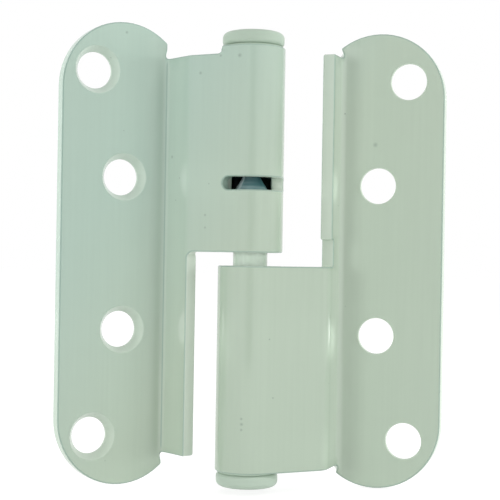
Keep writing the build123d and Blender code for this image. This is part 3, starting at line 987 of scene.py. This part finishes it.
@dataclass
class TurnedPiece:
    """A piece turned on the pin axis: a rounded profile of radius and height carried round the axis."""

    node: str
    body: str
    slot: str
    profile: list[tuple[float, float, float]]
    closed: bool = False
    steps: int = 96
    run_step: float = 1.5
    arc_deg: float = 10.0

    def build(self) -> bpy.types.Object:
        """Carry the profile round the axis.

        A profile point of radius r and height z gives the circle (r cos a, r sin a, z). The ends of an open
        profile lie on the axis and become single points.

        Returns:
            The piece in the part's frame.
        """
        line = rounded_line(self.profile, self.closed, self.run_step, self.arc_deg)
        turn = np.linspace(0.0, 2 * math.pi, self.steps, endpoint=False)
        round_x, round_y = np.cos(turn), np.sin(turn)
        body = slice(None) if self.closed else slice(1, -1)
        radius, height = line.points[body, 0][:, None], line.points[body, 1][:, None]
        out, up = line.normals[body, 0][:, None], line.normals[body, 1][:, None]
        rows = len(radius)
        flat = np.ones_like(round_x)
        verts = np.stack([radius * round_x, radius * round_y, height * flat], axis=-1).reshape(-1, 3)
        normals = np.stack([out * round_x, out * round_y, up * flat], axis=-1).reshape(-1, 3)
        ids = np.arange(rows * self.steps).reshape(rows, self.steps)
        lower, upper = (ids, np.roll(ids, -1, axis=0)) if self.closed else (ids[:-1], ids[1:])
        quads = np.stack([lower, np.roll(lower, -1, 1), np.roll(upper, -1, 1), upper], axis=-1).reshape(-1, 4)
        faces = [quads]
        if not self.closed:
            poles = np.column_stack([np.zeros((2, 2)), line.points[[0, -1], 1]])
            ends = np.column_stack([np.zeros((2, 2)), np.sign(line.normals[[0, -1], 1])])
            for number, ring in enumerate((ids[0], ids[-1])):
                pole = np.full(self.steps, len(verts) + number)
                faces.append(np.column_stack([pole, ring, np.roll(ring, -1)]))
            verts, normals = np.concatenate([verts, poles]), np.concatenate([normals, ends])
        return make_piece(f"{self.node}_turned", verts + (AXIS_X, AXIS_Y, 0.0), faces, normals)

    def dress(self, material: bpy.types.Material) -> bpy.types.Object:
        """Build the piece, give it its finish and fix it to its body.

        Args:
            material: the finish.

        Returns:
            The finished piece.
        """
        piece = self.build()
        piece.data.materials.append(material)
        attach(piece, self.body)
        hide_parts(self.node)
        return piece


@dataclass(frozen=True)
class PinStack:
    """The pin and what is turned on its axis: heights are in the part's frame."""

    bore_radius: float = 4.65
    neck_radius: float = 4.1
    lower_end: float = -50.1
    upper_rim: float = 1.5
    upper_end: float = 50.0
    foot: float = -41.9
    shoulder: float = -1.9
    cone_start: float = 16.1
    tip_top: float = 20.7
    tip_radius: float = 1.336
    bush_bottom: float = 1.9
    bush_length: float = 11.0
    clearance: float = 0.05
    plug_length: float = 10.0
    grease_film: float = 0.02
    cap_radius: float = 7.35
    cap_height: float = 3.35
    cap_edge: float = 1.4
    cap_seat_radius: float = 7.0
    cap_seat: float = 0.3
    cap_stem: float = 6.0
    foot_round: float = 0.8
    shoulder_round: float = 0.2
    neck_round: float = 0.15
    tip_round: float = 0.3
    bush_round: float = 0.15
    plug_round: float = 0.6
    stem_round: float = 0.6
    seat_round: float = 0.1
    head_round: float = 1.1
    coat_over_rim: float = 0.4
    tip_lead: float = 1.1

    def pin(self) -> TurnedPiece:
        """Stepped pin with a conical tip."""
        wide, neck, tip = self.bore_radius, self.neck_radius, self.tip_radius
        return TurnedPiece("hinge_pin", "lower", "pin_steel", [
            (0, self.foot, 0), (wide, self.foot, self.foot_round), (wide, self.shoulder, self.shoulder_round),
            (neck, self.shoulder, self.neck_round), (neck, self.cone_start, self.tip_round),
            (tip, self.tip_top, self.tip_round), (0, self.tip_top, 0)])

    def bush(self) -> TurnedPiece:
        """Plain bush round the neck."""
        inner, outer = self.neck_radius + self.clearance, self.bore_radius - self.clearance
        low, high = self.bush_bottom, self.bush_bottom + self.bush_length
        places = [(inner, low), (outer, low), (outer, high), (inner, high)]
        profile = [(radius, height, self.bush_round) for radius, height in places]
        return TurnedPiece("bearing_bush", "bush", "bush_nylon", profile, closed=True)

    def plug(self) -> TurnedPiece:
        """Plug that stands on the pin's tip."""
        foot, top = self.tip_top + self.grease_film, self.tip_top + self.plug_length
        return TurnedPiece("thrust_plug", "upper", "plug_steel", [
            (0, foot, 0), (self.bore_radius, foot, self.plug_round), (self.bore_radius, top, self.plug_round),
            (0, top, 0)])

    def cap(self, node: str, body: str, end: float, way: float) -> TurnedPiece:
        """Cap plugged into a knuckle's end.

        Args:
            node: CAD node that it stands for.
            body: body that carries it.
            end: height of the knuckle's end face.
            way: 1 where the cap's head is above that face, or -1 where it is below.

        Returns:
            The cap.
        """
        top = self.cap_seat + self.cap_height
        stem, seat, head = self.bore_radius, self.cap_seat_radius, self.cap_radius
        profile = [(0, -self.cap_stem, 0), (stem, -self.cap_stem, self.stem_round),
                   (stem, 0, self.seat_round), (seat, 0, self.seat_round),
                   (seat, self.cap_seat, self.seat_round), (head, self.cap_seat, self.head_round),
                   (head, top, self.cap_edge), (0, top, 0)]
        placed = [(radius, end + way * height, bend) for radius, height, bend in profile]
        return TurnedPiece(node, body, "cap_plastic", placed if way > 0 else placed[::-1])


@dataclass(frozen=True)
class PhotoCamera:
    """Camera at the photograph's place, worked out from the part's own edges."""

    distance: float = 300.0
    swing_deg: float = 18.5
    eye_height: float = 1.0
    focal_px: float = 1262.0
    frame_px: float = 500.0
    centre_px: tuple[float, float] = (0.2, 4.8)
    roll: float = 0.0165
    sensor_mm: float = 36.0
    nearest: float = 10.0

    def place(self) -> bpy.types.Object:
        """Add the camera to the scene and make it the scene's own.

        Returns:
            The camera.
        """
        a = math.radians(self.swing_deg)
        forward = Vector((-math.sin(a), math.cos(a), 0))
        right = Vector((math.cos(a), math.sin(a), 0))
        up = Vector((0, 0, 1))
        c, s = math.cos(self.roll), math.sin(self.roll)
        side, top = right * c + up * s, up * c - right * s
        data = bpy.data.cameras.new("photo_camera")
        data.sensor_width = self.sensor_mm
        data.lens = self.focal_px / self.frame_px * self.sensor_mm
        data.shift_x = -self.centre_px[0] / self.frame_px
        data.shift_y = self.centre_px[1] / self.frame_px
        data.clip_start = self.nearest * MM
        camera = bpy.data.objects.new("photo_camera", data)
        spot = (Vector((AXIS_X, AXIS_Y, self.eye_height)) - forward * self.distance) * MM
        turn = Matrix((side, top, -forward)).transposed().to_4x4()
        camera.matrix_world = Matrix.Translation(spot) @ turn
        bpy.context.scene.collection.objects.link(camera)
        bpy.context.scene.camera = camera
        return camera


@dataclass(frozen=True)
class Lamp:
    """A lamp that points at the barrel.

    Attributes:
        name: its name.
        turn_deg: its direction from the barrel, as a turn from the camera's towards its right.
        height: its height in the part's frame, in millimetres.
        away: its distance from the pin axis, in millimetres.
        width: its width, in millimetres.
        watts: its power.
        drop: its height from edge to edge where it isn't round, in millimetres.
        mirrored: whether it shows in the gloss and lights nothing else, or the other way round.
    """

    name: str
    turn_deg: float
    height: float
    away: float
    width: float
    watts: float
    drop: float = 0.0
    mirrored: bool = False


@dataclass(frozen=True)
class LightTent:
    """White tent on a pale floor, lit from outside, with a dark card behind the camera."""

    swing_deg: float
    sky_strength: float = 0.57
    floor_z: float = -55.2
    floor_half: float = 3000.0
    floor_paint: str = "#F4F5F4"
    shadow_paint: str = "#959595"
    floor_glow: float = 0.84
    card_width: float = 210.0
    card_height: float = 420.0
    card_away: float = 340.0
    card_grey: float = 0.08
    card_core: float = 0.35
    lamps: tuple[Lamp, ...] = (
        Lamp("softbox_left", -52.0, 60.0, 900.0, 350.0, 2.5),
        Lamp("softbox_right", 66.0, 60.0, 900.0, 350.0, 1.9),
        Lamp("softbox_high", 60.0, 650.0, 620.0, 350.0, 1.2),
        Lamp("rim_left", -112.0, 60.0, 900.0, 350.0, 4.0),
        Lamp("rim_right", 108.0, 60.0, 900.0, 350.0, 5.0),
        Lamp("glint_left", -91.0, 71.0, 900.0, 145.0, 0.03, drop=20.0, mirrored=True),
        Lamp("glint_right", 122.0, -44.0, 450.0, 72.0, 0.008, drop=12.0, mirrored=True),
    )

    def spot(self, turn_deg: float, away: float, height: float) -> Vector:
        """Place at a turn from the camera's direction, round the pin axis.

        Args:
            turn_deg: turn to the camera's right.
            away: distance from the pin axis.
            height: height in the part's frame.

        Returns:
            The place, in metres.
        """
        a = math.radians(self.swing_deg + turn_deg)
        return Vector((AXIS_X + away * math.sin(a), AXIS_Y - away * math.cos(a), height)) * MM

    @staticmethod
    def seen(add: Adder) -> bpy.types.NodeSocket:
        """Flag that is 1 for what is seen straight, in the gloss or through a clear piece, and 0 for light.

        Args:
            add: adds a node where the flag is used.

        Returns:
            The flag.
        """
        straight, gloss, clear = (add("LightPath", out=f"Is {ray} Ray")
                                  for ray in ("Camera", "Glossy", "Transmission"))
        either = add("Math", {0: straight, 1: gloss}, operation="MAXIMUM")
        return add("Math", {0: either, 1: clear}, operation="MAXIMUM")

    def world(self) -> None:
        """White tent that lights the object evenly and shows as white behind it."""
        world = bpy.data.worlds.new("light_tent")
        bpy.context.scene.world = world
        add = node_adder(world)
        soft, white = (add("Background", {"Color": linear(WHITE), "Strength": strength})
                       for strength in (self.sky_strength, 1.0))
        mix = add("MixShader", {0: self.seen(add), 1: soft, 2: white})
        add("OutputWorld", {"Surface": mix})

    @staticmethod
    def sheet(name: str, corners: list[Vector], material: bpy.types.Material) -> bpy.types.Object:
        """Add a flat sheet that belongs to the stage.

        Args:
            name: its name.
            corners: its four corners in order, in metres.
            material: its finish.

        Returns:
            The sheet.
        """
        mesh = bpy.data.meshes.new(name)
        mesh.from_pydata(corners, [], [(0, 1, 2, 3)])
        mesh.materials.append(material)
        sheet = bpy.data.objects.new(name, mesh)
        bpy.context.scene.collection.objects.link(sheet)
        return sheet

    def floor(self) -> None:
        """Pale floor that shows as white and keeps a faint shadow."""
        material = bpy.data.materials.new("light_table")
        add = node_adder(material)
        pale, shade = (add("BsdfDiffuse", {"Color": linear(paint)})
                       for paint in (self.floor_paint, self.shadow_paint))
        glow = add("Emission", {"Color": linear(WHITE), "Strength": self.floor_glow})
        shown = add("AddShader", {0: shade, 1: glow})
        mix = add("MixShader", {0: self.seen(add), 1: pale, 2: shown})
        add("OutputMaterial", {"Surface": mix})
        corners = [Vector((x * self.floor_half, y * self.floor_half, self.floor_z)) * MM
                   for x, y in ((-1, -1), (1, -1), (1, 1), (-1, 1))]
        self.sheet("floor", corners, material)

    def card(self) -> None:
        """Dark card behind the camera, fading towards its sides, which only the gloss shows."""
        material = bpy.data.materials.new("dark_card")
        add = node_adder(material)
        middle = self.spot(0.0, self.card_away, 0.0)
        a = math.radians(self.swing_deg)
        right = Vector((math.cos(a), math.sin(a), 0))
        place = add("TexCoord", out="Object")
        reach = add("VectorMath", {0: place, 1: middle}, operation="SUBTRACT")
        across = add("VectorMath", {0: reach, 1: right}, "Value", operation="DOT_PRODUCT")
        far = add("Math", {0: across}, operation="ABSOLUTE")
        half = self.card_width / 2 * MM
        fade = add("MapRange", {
            "Value": far, "From Min": half * self.card_core, "From Max": half},
            interpolation_type="SMOOTHSTEP")
        dark = add("Emission", {"Color": linear(WHITE), "Strength": self.card_grey})
        clear = add("BsdfTransparent")
        mix = add("MixShader", {0: fade, 1: dark, 2: clear})
        add("OutputMaterial", {"Surface": mix})
        side = right * half
        up = Vector((0, 0, self.card_height / 2 * MM))
        corners = [middle - side - up, middle + side - up, middle + side + up, middle - side + up]
        card = self.sheet("dark_card", corners, material)
        card.visible_camera = card.visible_diffuse = card.visible_shadow = card.visible_transmission = False

    def light(self, lamp: Lamp) -> None:
        """Add one lamp.

        Args:
            lamp: its place and power.
        """
        data = bpy.data.lights.new(lamp.name, "AREA")
        data.shape = "ELLIPSE" if lamp.drop else "DISK"
        data.size, data.energy = lamp.width * MM, lamp.watts
        if lamp.drop:
            data.size_y = lamp.drop * MM
        placed = bpy.data.objects.new(lamp.name, data)
        placed.location = self.spot(lamp.turn_deg, lamp.away, lamp.height)
        aim = Vector((AXIS_X, AXIS_Y, 0)) * MM - placed.location
        placed.rotation_euler = aim.to_track_quat("-Z", "Y").to_euler()
        placed.visible_camera = False
        placed.visible_glossy = lamp.mirrored
        placed.visible_diffuse = not lamp.mirrored
        bpy.context.scene.collection.objects.link(placed)

    def pitch(self) -> None:
        """Put up the tent, its floor, its card and its lamps."""
        self.world()
        self.floor()
        self.card()
        for lamp in self.lamps:
            self.light(lamp)


def leaves() -> list[FoldedLeaf]:
    """Both leaves, with the few specks that stand out on each."""
    # Each leaf's strip and riser values paint light, and the upper leaf's crease value paints shade
    upper = FoldedLeaf(
        node="upper_leaf", body="upper", heads=Face.FRONT, fold_offset=14.0, riser_angle=80.0,
        plate_width=28.05, knuckle_inset=0.6, riser_cut=10.1, ear=1.26, strip_drop=1.9, step_on_web=4.6,
        strip_end=7.0, relief_length=0.0, slotted=True, upper=True, crease=0.7, strip_painted_light=1.0,
        riser_painted_light=0.12,
        marks=[(-31.21, -22.75, 47.3, 0.6), (-49.8, -17.65, 24.25, 0.5), (-59.15, -24.44, 53.46, 0.45),
               (-39.6, -21.64, 10.18, 0.4), (-39.55, -21.65, 7.24, 0.35), (-41.39, -21.4, 43.67, 0.5),
               (-36.14, -22.1, 47.5, 0.4)])
    lower = FoldedLeaf(
        node="lower_leaf", body="lower", heads=Face.BACK, fold_offset=16.65, riser_angle=88.0,
        plate_width=26.55, knuckle_inset=1.6, riser_cut=8.3, ear=1.94, strip_drop=0.0, step_on_web=0.0,
        strip_end=5.5, relief_length=6.5, slotted=False, upper=False, crease=0.0, riser_painted_light=0.3,
        marks=[(-3.93, 0.0, 28.14, 0.75), (-29.38, -22.73, -37.08, 0.4), (-29.31, -22.72, -38.33, 0.5),
               (-29.36, -22.73, -39.63, 0.4)])
    return [upper, lower]


def main() -> None:
    """Load the frame, build and dress the pieces, and light them."""
    logging.basicConfig(level=logging.INFO, format="%(name)s: %(message)s")
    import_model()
    bpy.context.scene.view_settings.view_transform = "Standard"
    enamel = StovedEnamel()
    pieces = [leaf.dress(enamel) for leaf in leaves()]
    stack = PinStack()
    cap_nylon = MouldedNylon().material("moulded_nylon_cap")
    # The lower cap's nylon is paler, as painted light against the shade near the floor
    lower_cap_lit_nylon = MouldedNylon(body="#BFD0C1", drift="#BCCDBD").material("moulded_nylon_lower_cap")
    bush_nylon = MouldedNylon(body="#D6D8CF", drift="#CDD0C6").material("moulded_nylon_bush")
    pin_steel = TurnedSteel(
        coat_top_mm=stack.upper_rim + stack.coat_over_rim,
        tip_from_mm=stack.cone_start - stack.tip_lead).material("turned_steel_pin")
    plug_steel = TurnedSteel(steel="#8C989C", stain="#78868A").material("turned_steel_plug")
    pieces.append(stack.pin().dress(pin_steel))
    pieces.append(stack.bush().dress(bush_nylon))
    pieces.append(stack.plug().dress(plug_steel))
    pieces.append(stack.cap("upper_cap", "upper", stack.upper_end, 1.0).dress(cap_nylon))
    pieces.append(stack.cap("lower_cap", "lower", stack.lower_end, -1.0).dress(lower_cap_lit_nylon))
    for piece in pieces:
        LOG.info("%s: %d faces", piece.name, len(piece.data.polygons))
    camera = PhotoCamera()
    camera.place()
    LightTent(camera.swing_deg).pitch()


if __name__ == "__main__":
    main()
